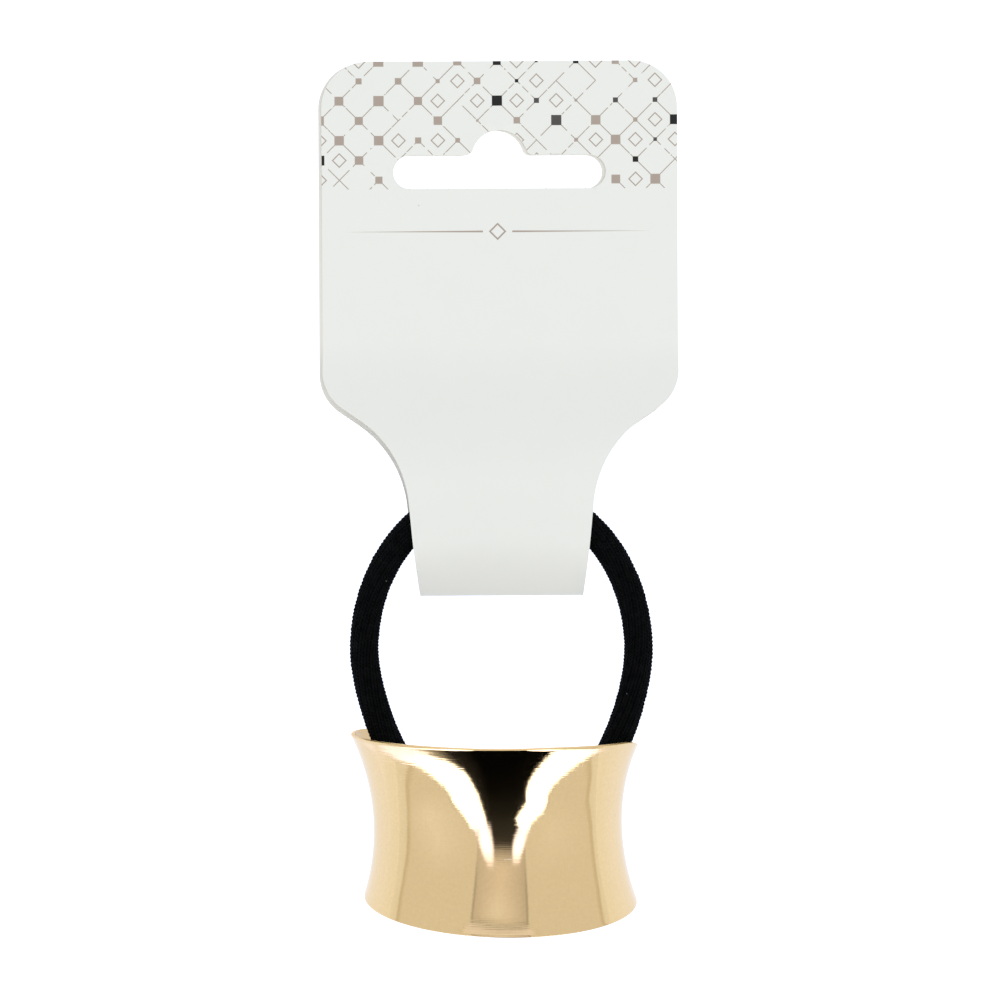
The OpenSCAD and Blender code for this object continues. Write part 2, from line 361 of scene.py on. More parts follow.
# The CAD's sheet is 0.4 mm thick, and the board 0.38 mm, which leaves room between the leaves
card_t, board_t = 0.4, 0.38
fold_y = card_top - card_h + card_t
slot_w, slot_h, slot_down = 32.0, 5.1, 16.6
bump_r, bump_up, bump_fillet = 4.2, 2.1, 1.2
leaf_lift, rise_l, crest_l, fall_l = 4.8, 9.5, 7.4, 21.0
# The crease bends the sheet round an axis just inside the fold, from the rear leaf up to the front one
crease_r, crease_in, crease_z, crease_stop = 0.21, 0.0715, 0.4, 128.3
front_z, rear_z = 0.61, 0.19
# Away from the fold the front leaf springs up a little, most at its sides
spring_up, spring_from, spring_l = 0.10, 42, 40
curl_up, curl_from, curl_l = 0.16, 12, 16
# The blank is cut into strips that can bend, finely in the crease and where the leaf lifts
crease_cuts, fine_cuts, fine_step = 12, 63, 0.6
coarse_cuts, front_step, rear_step = 13, 3, 6
side_cuts, side_step, side_shift = 8, 3, 0.01


def arc(cx, cy, r, a0, a1, steps):
    """Points on an arc, between two angles in degrees."""
    turns = [math.radians(a0 + (a1 - a0) * i / steps) for i in range(steps + 1)]
    return [(cx + r * math.cos(a), cy + r * math.sin(a)) for a in turns]


def leaf_side(drop):
    """The right edge of a leaf, in millimetres, from the neck up to the top edge."""
    neck_x, neck_y = neck_top_w / 2, fold_y - card_t + neck_h - drop
    taper = math.degrees(math.atan2(neck_h, (neck_top_w - neck_fold_w) / 2))
    slope = math.radians(shoulder_angle)
    middle_x = neck_x + sweep_r * math.sin(math.radians(taper))
    middle_y = neck_y - sweep_r * math.cos(math.radians(taper))
    sweep = arc(middle_x, middle_y, sweep_r, taper + 90, shoulder_angle + 90, 24)
    turn_x = card_w / 2 - shoulder_r
    run = turn_x + shoulder_r * math.sin(slope) - sweep[-1][0]
    turn_y = sweep[-1][1] + run * math.tan(slope) + shoulder_r * math.cos(slope)
    corner = (card_w / 2 - corner_r, card_top - corner_r)
    return (
        sweep
        + arc(turn_x, turn_y, shoulder_r, shoulder_angle - 90, 0, 16)
        + arc(*corner, corner_r, 0, 90, 24)
    )


def slot_outline(middle_x):
    """The hanging slot with the round bump above it, in millimetres."""
    half, middle_y = slot_h / 2, card_top - slot_down
    rise = half + bump_fillet - bump_up
    foot = math.sqrt((bump_r + bump_fillet) ** 2 - rise**2)
    lean = math.degrees(math.atan2(rise, foot))
    right = arc((slot_w - slot_h) / 2, 0, half, -90, 90, 24)
    right += arc(foot, half + bump_fillet, bump_fillet, 270, 180 + lean, 8)
    right += arc(0, bump_up, bump_r, lean, 90, 16)[1:]
    left = [(-x, y) for x, y in reversed(right[:-1])]
    return [(middle_x + x, middle_y + y) for x, y in right + left]


crease_y = fold_y + crease_in
crease_end = math.radians(crease_stop)
crease_l = crease_r * (math.radians(270) - crease_end)
front_from = crease_y + crease_r * math.cos(crease_end)


def folded(x, q):
    """Where a point of the flat blank goes: q is above 0 on the front leaf and below it on the rear one."""
    curl = curl_up * smooth((abs(x) - curl_from) / curl_l)
    if q > 0:
        y = front_from + q
        rise = math.radians(90 * min(1.0, (y - fold_y) / rise_l))
        bulge = leaf_lift * math.sin(rise) * (1 - smooth((y - fold_y - rise_l - crest_l) / fall_l))
        free = smooth((y - fold_y - spring_from) / spring_l)
        return x, y, front_z + bulge + (curl + spring_up) * free
    if q > -crease_l:
        turn = crease_end - q / crease_r
        return x, crease_y + crease_r * math.cos(turn), crease_z + crease_r * math.sin(turn)
    return x, crease_y - (q + crease_l), rear_z


def to_blank(points, front):
    """Turns points of a folded leaf, seen from above, into points of the flat blank."""
    if front:
        return [(x, y - front_from) for x, y in points]
    return [(x, crease_y - crease_l - y) for x, y in points]


def both_sides(drop, middle_x):
    """A leaf's outline, from the right end of its neck round its top to the left end."""
    side = leaf_side(drop)
    return [(middle_x + x, y) for x, y in side] + [(middle_x - x, y) for x, y in reversed(side)]


front_edge = to_blank(both_sides(0, front_x), True)
rear_edge = to_blank(both_sides(rear_drop, rear_x), False)
half_neck = neck_fold_w / 2
neck_right = [(front_x + half_neck, -crease_l), (front_x + half_neck, 0.0)]
neck_left = [(front_x - half_neck, 0.0), (front_x - half_neck, -crease_l)]
blank_edge = neck_right + front_edge + neck_left + list(reversed(rear_edge))
holes = [to_blank(slot_outline(front_x), True), to_blank(slot_outline(rear_x), False)[::-1]]

blank = bmesh.new()
for outline in [blank_edge, *holes]:
    corners = [blank.verts.new((x, y, 0)) for x, y in outline]
    for i, corner in enumerate(corners):
        blank.edges.new((corners[i - 1], corner))
bmesh.ops.triangle_fill(blank, edges=blank.edges[:], use_beauty=True, use_dissolve=False, normal=(0, 0, 1))


def cut(at, across=True):
    """Cuts the blank along a straight line, so that it can bend there."""
    line_point, normal = ((0, at, 0), (0, 1, 0)) if across else ((at, 0, 0), (1, 0, 0))
    geometry = blank.verts[:] + blank.edges[:] + blank.faces[:]
    bmesh.ops.bisect_plane(blank, geom=geometry, dist=1e-6, plane_co=line_point, plane_no=normal)


for i in range(crease_cuts + 1):
    cut(-crease_l * i / crease_cuts)
for i in range(1, fine_cuts + 1):
    cut(fine_step * i)
for i in range(1, coarse_cuts + 1):
    cut(fine_step * fine_cuts + front_step * i)
    cut(-crease_l - rear_step * i)
for i in range(-side_cuts, side_cuts + 1):
    cut(side_step * i + side_shift, across=False)
bmesh.ops.remove_doubles(blank, verts=blank.verts[:], dist=1e-4)
lay_card = (
    Matrix.Translation((card_x * MM, card_top * MM, 0))
    @ Matrix.Rotation(math.radians(card_turn), 4, "Z")
    @ Matrix.Translation((0, -card_top * MM, 0))
)
for vert in blank.verts:
    vert.co = lay_card @ (Vector(folded(vert.co.x, vert.co.y)) * MM)
bmesh.ops.recalc_face_normals(blank, faces=blank.faces[:])
front_faces = [f for f in blank.faces if f.calc_center_median().z > crease_z * MM]
if sum(f.normal.z for f in front_faces) < 0:
    bmesh.ops.reverse_faces(blank, faces=blank.faces[:])
for facet in blank.faces:
    facet.smooth = True


def finished(name, shape):
    """Makes an object of a mesh that has been worked on."""
    mesh = bpy.data.meshes.new(name)
    shape.to_mesh(mesh)
    shape.free()
    return put(name, mesh)


card = finished("folded_card", blank)
sheet = card.modifiers.new("board", "SOLIDIFY")
sheet.thickness = board_t * MM
sheet.offset = 0
sheet.material_offset = 1
sheet.material_offset_rim = 2
edge_round = card.modifiers.new("pressed_edge", "BEVEL")
edge_round.width = 0.05 * MM
edge_round.segments = 2
edge_round.limit_method = "ANGLE"
edge_round.angle_limit = math.radians(60)
card.modifiers.new("even_normals", "WEIGHTED_NORMAL").keep_sharp = True


most_fleck, fleck_brown = 0.45, (0.30, 0.28, 0.25, 1)


def board_finish(name, colour, roughness, coat):
    """Board with its fibres, faint mottling and a few specks, and what a print needs to be laid over it."""
    material, tree, skin, where = new_material(name)
    mottle = place(tree, patches, {"Vector": where, "Per Metre": 160.0, "Low": 0.994, "High": 1.004})
    dust = place(tree, specks, {"Vector": where, "Per Metre": 330.0, "Size": 0.035, "Share": 0.10})
    fleck = calc(tree, "MULTIPLY", dust, most_fleck)
    flecked = mix_colour(tree, fleck, dimmed(tree, colour, mottle), fleck_brown)
    tree.links.new(flecked, skin.inputs["Base Color"])
    gloss = {"Vector": where, "Per Metre": 90.0, "Low": roughness - 0.05, "High": roughness + 0.05}
    tree.links.new(place(tree, patches, gloss), skin.inputs["Roughness"])
    skin.inputs["Coat Weight"].default_value = coat
    skin.inputs["Coat Roughness"].default_value = 0.35
    skin.inputs["Specular IOR Level"].default_value = 0.3
    fibres = add(
        tree, "ShaderNodeTexNoise", {"Vector": where, "Scale": 1500.0, "Detail": 5.0, "Roughness": 0.65}
    ).outputs[0]
    bump = add(tree, "ShaderNodeBump", {"Height": fibres, "Strength": 0.25, "Distance": 0.03 * MM})
    tree.links.new(bump.outputs[0], skin.inputs["Normal"])
    return material, tree, skin, flecked


white_coated, coated, skin, bare = board_finish("white_coated", (0.81, 0.83, 0.80), 0.5, 0.1)
white_uncoated = board_finish("white_uncoated", (0.80, 0.79, 0.75), 0.75, 0.0)[0]
cut_edge = board_finish("cut_edge", (0.80, 0.785, 0.715), 0.85, 0.0)[0]


# The print on the front leaf is worked in millimetres, from the middle of the leaf's top edge
def under(value, limit):
    return calc(coated, "LESS_THAN", value, limit)


def over(value, limit):
    return calc(coated, "GREATER_THAN", value, limit)


def both(first, second):
    return calc(coated, "MULTIPLY", first, second)


def either(first, second):
    return calc(coated, "MAXIMUM", first, second)


def away(value, middle):
    """How far a value is from a middle one."""
    return calc(coated, "ABSOLUTE", calc(coated, "SUBTRACT", value, middle))


def lot_of(x, y, draw):
    """A fixed random number from 0 to 1 for each whole-numbered place, another one for each draw."""
    spot = add(coated, "ShaderNodeCombineXYZ", {"X": x, "Y": y, "Z": draw}).outputs[0]
    return add(coated, "ShaderNodeTexWhiteNoise", {"Vector": spot}).outputs["Value"]


where = add(coated, "ShaderNodeTexCoord").outputs["Object"]
printed = add(coated, "ShaderNodeMapping", {"Vector": where})
printed.inputs["Scale"].default_value = (1 / MM,) * 3
printed.inputs["Rotation"].default_value = (0, 0, -math.radians(card_turn))
printed.inputs["Location"].default_value = (-card_x - front_x, -card_top, 0)
axes = add(coated, "ShaderNodeSeparateXYZ", {"Vector": printed.outputs[0]}).outputs
across, up = axes["X"], axes["Y"]
normal = add(coated, "ShaderNodeNewGeometry").outputs["True Normal"]
facing_up = over(add(coated, "ShaderNodeSeparateXYZ", {"Vector": normal}).outputs["Z"], 0.5)
off_middle = calc(coated, "ABSOLUTE", across)

# Header: slanting thin lines, a square on most crossings, and a small frame inside some meshes
header_h, mesh_w = 19.2, 4.2
line_half, no_line, rubbed_from = 0.0165, 0.22, 0.58
square_least, square_more, no_square = 0.05, 0.24, 0.16
frame_r, frame_half, no_frame = 0.17, 0.02, 0.62
dark_from, black_from = 0.62, 0.78
header = both(facing_up, over(up, -header_h))
a = calc(coated, "DIVIDE", calc(coated, "ADD", across, up), mesh_w * math.sqrt(2))
b = calc(coated, "DIVIDE", calc(coated, "SUBTRACT", across, up), mesh_w * math.sqrt(2))
near_a, near_b = calc(coated, "ROUND", a), calc(coated, "ROUND", b)
cell_a, cell_b = calc(coated, "FLOOR", a), calc(coated, "FLOOR", b)
off_a, off_b = away(a, near_a), away(b, near_b)
rubbed = add(coated, "ShaderNodeTexNoise", {"Vector": printed.outputs[0], "Scale": 0.9, "Detail": 2.0})
line_a = both(under(off_a, line_half), over(lot_of(near_a, cell_b, 3.0), no_line))
line_b = both(under(off_b, line_half), over(lot_of(cell_a, near_b, 8.0), no_line))
lines = both(either(line_a, line_b), under(rubbed.outputs[0], rubbed_from))
square_size = calc(coated, "MULTIPLY_ADD", lot_of(near_a, near_b, 1.0), square_more, square_least)
square_there = over(lot_of(near_a, near_b, 5.0), no_square)
square = both(under(calc(coated, "ADD", off_a, off_b), square_size), square_there)
ink_lot = lot_of(near_a, near_b, 2.0)
in_a, in_b = away(calc(coated, "FRACT", a), 0.5), away(calc(coated, "FRACT", b), 0.5)
frame_there = over(lot_of(cell_a, cell_b, 6.0), no_frame)
frame_line = both(under(away(either(in_a, in_b), frame_r), frame_half), frame_there)

# Under the header: a rule that thins towards its ends, and a small diamond in the gap at its middle
rule_down, rule_half, rule_thins, rule_gap = 25.6, 0.15, 0.0065, 2.2
gem_r, gem_half = 1.15, 0.17
rule_off = calc(coated, "ABSOLUTE", calc(coated, "ADD", up, rule_down))
rule_edge = calc(coated, "MULTIPLY_ADD", off_middle, -rule_thins, rule_half)
rule = both(under(rule_off, rule_edge), over(off_middle, rule_gap))
gem = under(away(calc(coated, "ADD", rule_off, off_middle), gem_r), gem_half)

taupe_ink, dark_ink, black_ink = (0.41, 0.345, 0.296, 1), (0.075, 0.070, 0.068, 1), (0.006, 0.006, 0.006, 1)
motifs = both(header, either(either(lines, frame_line), square))
ink = mix_colour(coated, either(motifs, both(facing_up, either(rule, gem))), bare, taupe_ink)
ink = mix_colour(coated, both(header, both(square, over(ink_lot, dark_from))), ink, dark_ink)
ink = mix_colour(coated, both(header, both(square, over(ink_lot, black_from))), ink, black_ink)
coated.links.new(ink, skin.inputs["Base Color"])

for material in (white_coated, white_uncoated, cut_edge):
    card.data.materials.append(material)
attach(card, "root")
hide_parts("card")


# Cuff
# One piece of sheet brass, 0.6 mm thick, curved round, waisted, and plated in mirror-bright pale gold.
# A bent strap, soldered inside its front, holds the elastic; its open back has two lips with round corners.
cuff_h, cuff_w = 25.8, 36.5
cuff_depth, lip_depth, cuff_wrap = 15.0, 14.0, 115.0
side_flare, front_flare, top_flare, side_cut = 2.27, 2.0, 0.52, 0.083
edge_cut, left_cut, right_cut, edge_lean = 0.07, 0.25, 1.5, 0.4
# Turns from the front, in degrees, between which the upper edge is cut back further
left_cut_from, left_cut_l, left_lip_from, left_lip_l = 30, 35, -105, 20
right_cut_from, right_cut_l = 60, 50
sheet_t, lip_corner = 0.6, 1.6
cuff_x, cuff_y, cuff_turn, cuff_lean = -0.06, -49.66, 1.2, -0.059
waist_z = -lip_depth * math.cos(math.radians(cuff_wrap))
columns, rows = 240, 72
lay_cuff = Matrix.Translation((cuff_x * MM, cuff_y * MM, waist_z * MM)) @ Matrix.Rotation(
    -math.radians(cuff_turn), 4, "Z"
)


def top_cut(t):
    """How much the upper edge is cut back at a turn from the front, in degrees."""
    left = left_cut * smooth((left_cut_from - t) / left_cut_l) * smooth((t - left_lip_from) / left_lip_l)
    return edge_cut + left + right_cut * smooth((t - right_cut_from) / right_cut_l)


def wall_point(column, row, inset):
    """A point of the cuff's outer face, or of its inner face with the sheet's thickness as inset."""
    s, v = 2 * column / columns - 1, 2 * row / rows - 1
    # The columns lie closer together towards the lips
    t = cuff_wrap * (0.5 * s + 0.5 * math.sin(math.radians(90 * s)))
    cosine, sine = math.cos(math.radians(t)), math.sin(math.radians(t))
    left = lip_corner - math.radians(cuff_wrap - abs(t)) * lip_depth
    corner_cut = lip_corner - math.sqrt(max(0.0, lip_corner**2 - left**2)) if left > 0 else 0
    half_height = cuff_h / 2 * (1 - side_cut * (1 - cosine)) - corner_cut
    flare = side_flare * sine**2 + front_flare * cosine**2
    tilt = math.atan(edge_lean * max(0.0, 2 * flare * v + top_flare) / half_height)
    y = v * half_height - max(0.0, v) ** 2 * top_cut(t) + inset * math.sin(tilt)
    inwards = inset * math.cos(tilt)
    half_w = cuff_w / 2 + side_flare * v * v + top_flare * v - inwards
    front = cuff_depth + front_flare * v * v + top_flare * v - inwards
    depth = front if cosine > 0 else lip_depth - inwards
    return lay_cuff @ (Vector((half_w * sine + cuff_lean * y, y, depth * cosine)) * MM)


metal = bmesh.new()
outer, inner = (
    [[metal.verts.new(wall_point(c, r, inset)) for r in range(rows + 1)] for c in range(columns + 1)]
    for inset in (0, sheet_t)
)
MIRROR, SATIN, SOLDER, CUT = 0, 1, 2, 3


def face(corners, finish):
    """A smooth face of the metal with one of its four finishes."""
    made = metal.faces.new(corners)
    made.material_index = finish
    made.smooth = True


for c in range(columns):
    for r in range(rows):
        face((outer[c][r], outer[c][r + 1], outer[c + 1][r + 1], outer[c + 1][r]), MIRROR)
        face((inner[c][r], inner[c + 1][r], inner[c + 1][r + 1], inner[c][r + 1]), SATIN)
    face((outer[c][0], outer[c + 1][0], inner[c + 1][0], inner[c][0]), MIRROR)
    face((outer[c][rows], inner[c][rows], inner[c + 1][rows], outer[c + 1][rows]), CUT)
for r in range(rows):
    face((outer[0][r], inner[0][r], inner[0][r + 1], outer[0][r + 1]), MIRROR)
    face((outer[columns][r], outer[columns][r + 1], inner[columns][r + 1], inner[columns][r]), MIRROR)

# The strap is a bent strip of the same brass, whose two ends stand on the wall in beads of solder
strap_t, strap_w, strap_gap, strap_bend, strap_in = 0.9, 4.6, 0.4, 1.5, 0.3
elastic_r = 2.15
bead_x, bead_y, bead_z, bead_in = 2.9, 1.05, 0.62, 0.35
strap_x, strap_y = loop_x + loop_sway, loop_y - loop_h / 2
half_in = elastic_r + strap_gap
half_out = half_in + strap_t
foot_z = strap_z - elastic_r - strap_gap - strap_t
wall_z = waist_z + cuff_depth - sheet_t + strap_in
outer_bend = strap_bend + strap_t
outside = arc(half_out - outer_bend, foot_z + outer_bend, outer_bend, -90, 0, 12)
inside = arc(half_in - strap_bend, foot_z + strap_t + strap_bend, strap_bend, -90, 0, 12)
outside.append((half_out, wall_z))
inside.append((half_in, wall_z))
profile = outside + inside[::-1] + [(-y, z) for y, z in inside] + [(-y, z) for y, z in outside[::-1]]
ends = [
    [metal.verts.new(Vector((strap_x + side * strap_w / 2, strap_y + y, z)) * MM) for y, z in profile]
    for side in (-1, 1)
]
for i in range(len(profile)):
    face((ends[0][i - 1], ends[0][i], ends[1][i], ends[1][i - 1]), SATIN)
face(ends[0][::-1], SATIN)
face(ends[1], SATIN)

for side in (-1, 1):
    bead = bmesh.ops.create_uvsphere(metal, u_segments=32, v_segments=16, radius=1)["verts"]
    middle = Vector((strap_x, strap_y + side * (half_in + half_out) / 2, wall_z - bead_in))
    for vert in bead:
        x, y, z = vert.co
        turn = math.atan2(y, x)
        # The edge of a bead is a little uneven, as solder runs
        ripple = 1 + 0.06 * math.sin(5 * turn + side) + 0.04 * math.sin(9 * turn)
        bulge = Vector((x * bead_x * ripple, y * bead_y * ripple, z * bead_z))
        vert.co = (middle + bulge) * MM
    for made in {f for vert in bead for f in vert.link_faces}:
        made.material_index = SOLDER
        made.smooth = True
bmesh.ops.recalc_face_normals(metal, faces=metal.faces[:])
# Only the sharp edges are rounded, and the outer ones most
sharp_from, inner_rounding = math.radians(50), 0.3
outer_corners = {corner for column in outer for corner in column}
rounding = metal.edges.layers.float.new("bevel_weight_edge")
for edge in metal.edges:
    if edge.calc_face_angle(0) > sharp_from:
        edge[rounding] = 1.0 if set(edge.verts) <= outer_corners else inner_rounding
cuff = finished("gold_cuff", metal)
rim = cuff.modifiers.new("rounded_rim", "BEVEL")
rim.width = 0.1 * MM
rim.segments = 3
rim.limit_method = "WEIGHT"
cuff.modifiers.new("even_normals", "WEIGHTED_NORMAL").keep_sharp = True


dust_grey = (0.5, 0.45, 0.38, 1)


def plated(name, colour, roughness, grain_depth, brushed):
    """Gold plating: its rolled grain, handling marks in the gloss, and a little dust."""
    material, tree, skin, where = new_material(name)
    skin.inputs["Metallic"].default_value = 1
    clouding = place(tree, patches, {"Vector": where, "Per Metre": 70.0, "Low": 0.985, "High": 1.01})
    pitting = place(tree, patches, {"Vector": where, "Per Metre": 2200.0, "Low": 0.965, "High": 1.03})
    base = dimmed(tree, colour, calc(tree, "MULTIPLY", clouding, pitting))
    dust = place(tree, specks, {"Vector": where, "Per Metre": 500.0, "Size": 0.03, "Share": 0.06})
    tree.links.new(mix_colour(tree, dust, base, dust_grey), skin.inputs["Base Color"])
    gloss = place(
        tree, patches, {"Vector": where, "Per Metre": 110.0, "Low": roughness * 0.8, "High": roughness * 1.3}
    )
    tree.links.new(calc(tree, "MULTIPLY_ADD", dust, 0.4, gloss), skin.inputs["Roughness"])
    peel = add(tree, "ShaderNodeTexNoise", {"Vector": where, "Scale": 700.0, "Detail": 2.0}).outputs[0]
    rolled = add(tree, "ShaderNodeMapping", {"Vector": where})
    rolled.inputs["Scale"].default_value = (140, 5200, 140)
    streaks = {"Vector": rolled.outputs[0], "Scale": 1.0, "Detail": 2.0}
    brushing = add(tree, "ShaderNodeTexNoise", streaks).outputs[0]
    height = calc(tree, "MULTIPLY_ADD", brushing, brushed, peel)
    bump = add(tree, "ShaderNodeBump", {"Height": height, "Strength": 1.0, "Distance": grain_depth * MM})
    tree.links.new(bump.outputs[0], skin.inputs["Normal"])
    return material


# The cut edge's deep orange is partly the bare edge's own colour and partly painted reflection, gold mirrored
# in gold along the upper edge
for finish in (
    ("gold_mirror", (0.83, 0.62, 0.335), 0.05, 0.0015, 2.2),
    ("gold_satin", (0.76, 0.54, 0.27), 0.22, 0.002, 0.8),
    ("gold_solder", (0.74, 0.60, 0.38), 0.34, 0.02, 0.0),
    ("gold_cut_edge_painted_reflection", (0.92, 0.62, 0.23), 0.36, 0.004, 0.0),
):
    cuff.data.materials.append(plated(*finish))
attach(cuff, "root")
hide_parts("cuff")


# Studio
# A white surface, lit from below, in a pale light tent. Its open side is dark, between two bright flaps.
# The cuff mirrors them, the tent's walls, their seams and the roof, so each is hung where the cuff shows it.
# The studio's own sizes are in metres. The floor's glow is painted light from below, strongest in a pool
# round the cuff
pool_r, pool_fade, pool_most = 0.04, 0.035, 1.2
far_white, near_white = (0.775, 0.810, 0.870, 1), (0.830, 0.885, 1.035, 1)
camera_boost = 0.35


def glowing_floor(name):
    """A matt white surface whose glow is painted light from below, most strongly and coolest near the piece.
    """
    material, tree, skin, where = new_material(name)
    skin.inputs["Base Color"].default_value = (0.2, 0.2, 0.2, 1)
    skin.inputs["Roughness"].default_value = 0.9
    skin.inputs["Specular IOR Level"].default_value = 0.1
    both_places = {"Vector": where, "Vector_001": (0, cuff_y * MM, 0)}
    from_cuff = add(tree, "ShaderNodeVectorMath", both_places, operation="DISTANCE").outputs["Value"]
    beyond = calc(tree, "DIVIDE", calc(tree, "SUBTRACT", from_cuff, pool_r), pool_fade)
    close = calc(tree, "MINIMUM", calc(tree, "POWER", 0.5, beyond), pool_most)
    glow = mix_colour(tree, close, far_white, near_white)
    tree.links.new(glow, skin.inputs["Emission Color"])
    # Painted light: the camera sees the floor glow brighter still, which washes out its shadows
    seen = add(tree, "ShaderNodeLightPath").outputs["Is Camera Ray"]
    tree.links.new(calc(tree, "MULTIPLY_ADD", seen, camera_boost, 1.0), skin.inputs["Emission Strength"])
    return material


floor_reach, floor_down = 1.5, 0.00005
floor_mesh = bpy.data.meshes.new("floor")
floor_mesh.from_pydata(
    [(x * floor_reach, y * floor_reach, -floor_down) for x, y in ((-1, -1), (1, -1), (1, 1), (-1, 1))],
    [],
    [(0, 1, 2, 3)],
)
floor_mesh.materials.append(glowing_floor("floor_white"))
floor = put("floor", floor_mesh)

# The tent is round, and its middle is 20 mm above the surface
tent_middle = Vector((0, cuff_y, 20)) * MM
tent_r = 0.6
floor_share = 0.9
search_steps, most_columns, most_rows = 12, 20, 10
eye = camera.location.copy()
picture_w = 1000


def seen_at(point):
    """The pixel of the square picture at which a point is seen."""
    ray = point - eye
    pixels = picture_w * camera_lens.lens / camera_lens.sensor_width
    return Vector((picture_w / 2 - pixels * ray.x / ray.z, picture_w / 2 + pixels * ray.y / ray.z))


def on_tent(u, v, nearer=0.0):
    """The point of the tent, or of the space just above the surface, that the cuff mirrors at a pixel."""
    column, row = columns / 2, rows / 2
    for _ in range(search_steps):
        here = seen_at(wall_point(column, row, 0))
        by_column = seen_at(wall_point(column + 1, row, 0)) - here
        by_row = seen_at(wall_point(column, row + 1, 0)) - here
        miss = Vector((u, v)) - here
        size = by_column.cross(by_row)
        column += max(-most_columns, min(most_columns, miss.cross(by_row) / size))
        row += max(-most_rows, min(most_rows, by_column.cross(miss) / size))
    point = wall_point(column, row, 0)
    normal = (wall_point(column + 0.5, row, 0) - point).cross(wall_point(column, row + 0.5, 0) - point)
    normal.normalize()
    ray = (point - eye).normalized()
    way = ray - 2 * ray.dot(normal) * normal
    offset = point - tent_middle
    along = offset.dot(way)
    reach = math.sqrt(along**2 - offset.length_squared + (tent_r - nearer) ** 2) - along
    if way.z < 0:
        reach = min(reach, (floor_share - nearer) * point.z / -way.z)
    return point + way * reach


brightest = 5.0
fold_shade, fold_light = 0.12, 0.94


def lit_cloth(name, stops, colour=(1, 1, 1), ragged=0.0, thin=None):
    """Glowing cloth with stops of (share across, brightness, cover). Thin is its colour as it fades out."""
    material = bpy.data.materials.new(name)
    material.use_nodes = True
    tree = material.node_tree
    tree.nodes.clear()
    across = add(tree, "ShaderNodeAttribute", attribute_name="across").outputs["Fac"]
    shown = add(tree, "ShaderNodeAttribute", attribute_name="shown").outputs["Fac"]
    where = add(tree, "ShaderNodeTexCoord").outputs["Object"]
    fray = add(tree, "ShaderNodeTexNoise", {"Vector": where, "Scale": 130.0, "Detail": 4.0}).outputs[0]
    frayed = calc(tree, "MULTIPLY_ADD", calc(tree, "SUBTRACT", fray, 0.5), ragged, across)
    ramp = add(tree, "ShaderNodeValToRGB", {"Fac": frayed})
    while len(ramp.color_ramp.elements) < len(stops):
        ramp.color_ramp.elements.new(0.5)
    for element, (share, brightness, cover) in zip(ramp.color_ramp.elements, stops):
        element.position = share
        element.color = (brightness / brightest,) * 3 + (cover,)
    folds = add(tree, "ShaderNodeTexNoise", {"Vector": where, "Scale": 60.0, "Detail": 3.0}).outputs[0]
    drape = calc(tree, "MULTIPLY_ADD", folds, fold_shade, fold_light)
    strength = calc(tree, "MULTIPLY", calc(tree, "MULTIPLY", ramp.outputs["Color"], brightest), drape)
    tint = mix_colour(tree, shown, (*(thin or colour), 1), (*colour, 1))
    layers = {
        "Fac": calc(tree, "MULTIPLY", ramp.outputs["Alpha"], shown),
        "Shader": add(tree, "ShaderNodeBsdfTransparent").outputs[0],
        "Shader_001": add(tree, "ShaderNodeEmission", {"Color": tint, "Strength": strength}).outputs[0],
    }
    add(tree, "ShaderNodeOutputMaterial", {"Surface": add(tree, "ShaderNodeMixShader", layers).outputs[0]})
    return material


def hang(name, grid, material, shown=None):
    """Hangs cloth over rows of points, and keeps for its material how far across each point is."""
    wide = len(grid[0])
    faces = [
        (r * wide + i, r * wide + i + 1, (r + 1) * wide + i + 1, (r + 1) * wide + i)
        for r in range(len(grid) - 1)
        for i in range(wide - 1)
    ]
    mesh = bpy.data.meshes.new(name)
    mesh.from_pydata([point for row in grid for point in row], [], faces)
    shares = mesh.attributes.new("across", "FLOAT", "POINT")
    covers = mesh.attributes.new("shown", "FLOAT", "POINT")
    for r in range(len(grid)):
        for i in range(wide):
            shares.data[r * wide + i].value = i / (wide - 1)
            covers.data[r * wide + i].value = shown[r] if shown else 1
    mesh.materials.append(material)
    cloth = put(name, mesh)
    # The cloths are painted reflection and painted shade: the camera doesn't see them and they light nothing,
    # so they show only where something glossy mirrors them
    cloth.visible_camera = False
    cloth.visible_diffuse = False
    cloth.visible_shadow = False


def hang_between(name, rows_seen, material, nearer, steps=5, across=8):
    """Cloth between pairs of points of the picture, as the cuff mirrors it. The third value is its cover."""
    grid, shown = [], []
    for row in range((len(rows_seen) - 1) * steps + 1):
        span = min(row // steps, len(rows_seen) - 2)
        share = row / steps - span
        above, below = rows_seen[span], rows_seen[span + 1]
        ends = [Vector(above[e]).lerp(Vector(below[e]), share) for e in (0, 1)]
        grid.append([on_tent(*ends[0].lerp(ends[1], i / across), nearer) for i in range(across + 1)])
        shown.append(above[2] + (below[2] - above[2]) * share)
    hang(name, grid, material, shown)


def sew(name, line, width, material, nearer, covers=None):
    """A seam along a line of the picture."""
    rows_seen = []
    for i, point in enumerate(line):
        way = (Vector(line[min(i + 1, len(line) - 1)]) - Vector(line[max(i - 1, 0)])).normalized()
        side = Vector((-way.y, way.x)) * width / 2
        rows_seen.append((Vector(point) - side, Vector(point) + side, covers[i] if covers else 1))
    hang_between(name, rows_seen, material, nearer, across=2)


# Each row of a cloth runs between two pixels of the picture, and its third value is how much it covers.
# In a call, the number after the cloth's material is how much nearer it hangs than the tent's wall
dark_room = lit_cloth(
    "dark_room",
    [(0, 0.30, 0.3), (0.06, 0.20, 0.8), (0.16, 0.02, 1), (0.35, 0.0005, 1), (0.95, 0.001, 1), (1, 0.02, 0.8)],
)
opening = [
    ((414, 740), (562, 738), 1), ((424, 751.5), (556, 751), 1), ((446, 768), (546, 766), 1),
    ((462, 790), (536, 795), 0.998), ((470, 812), (526, 815), 0.985), ((478, 835), (522, 835), 0.955),
    ((486, 845), (519, 845), 0.93), ((490, 852), (514, 852), 0.48), ((493, 860), (511, 860), 0.16),
    ((495, 866), (509, 866), 0),
]
hang_between("tent_opening", opening, dark_room, 0.03)

